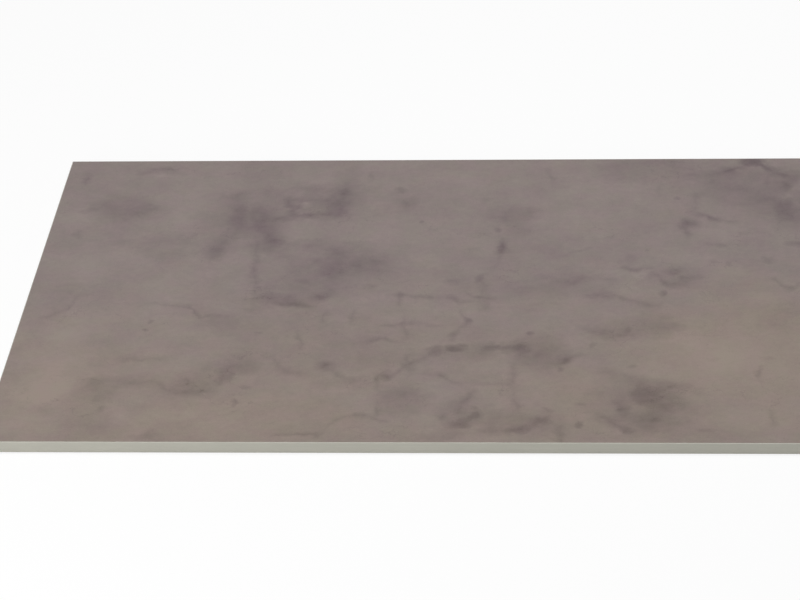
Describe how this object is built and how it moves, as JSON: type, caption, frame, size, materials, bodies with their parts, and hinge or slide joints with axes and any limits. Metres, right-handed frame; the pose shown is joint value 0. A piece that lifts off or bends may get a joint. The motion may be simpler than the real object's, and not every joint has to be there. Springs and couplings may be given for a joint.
{
  "type": "kitchen splashback panel",
  "caption": "Flat rectangular laminate-faced wall panel with square edging on all four edges, which covers the wall between a worktop and the wall units.",
  "frame": {"origin": "middle of the back face, on the surface that the panel lies on", "axes": "+X along the panel's length, +Y up the wall once it is fitted, +Z out of the patterned face"},
  "size_m": [2, 0.6, 0.012],
  "materials": {
    "face": "taupe stone effect, soft matt",
    "edging": "plain pale grey, satin",
    "backing": "plain brown balancing sheet, matt",
    "core": "pressed wood particles"
  },
  "bodies": {
    "root": {"core_board": "core", "face_laminate": "face", "backing_laminate": "backing", "lower_edge_strip": "edging", "upper_edge_strip": "edging", "left_edge_strip": "edging", "right_edge_strip": "edging"}
  },
  "joints": []
}
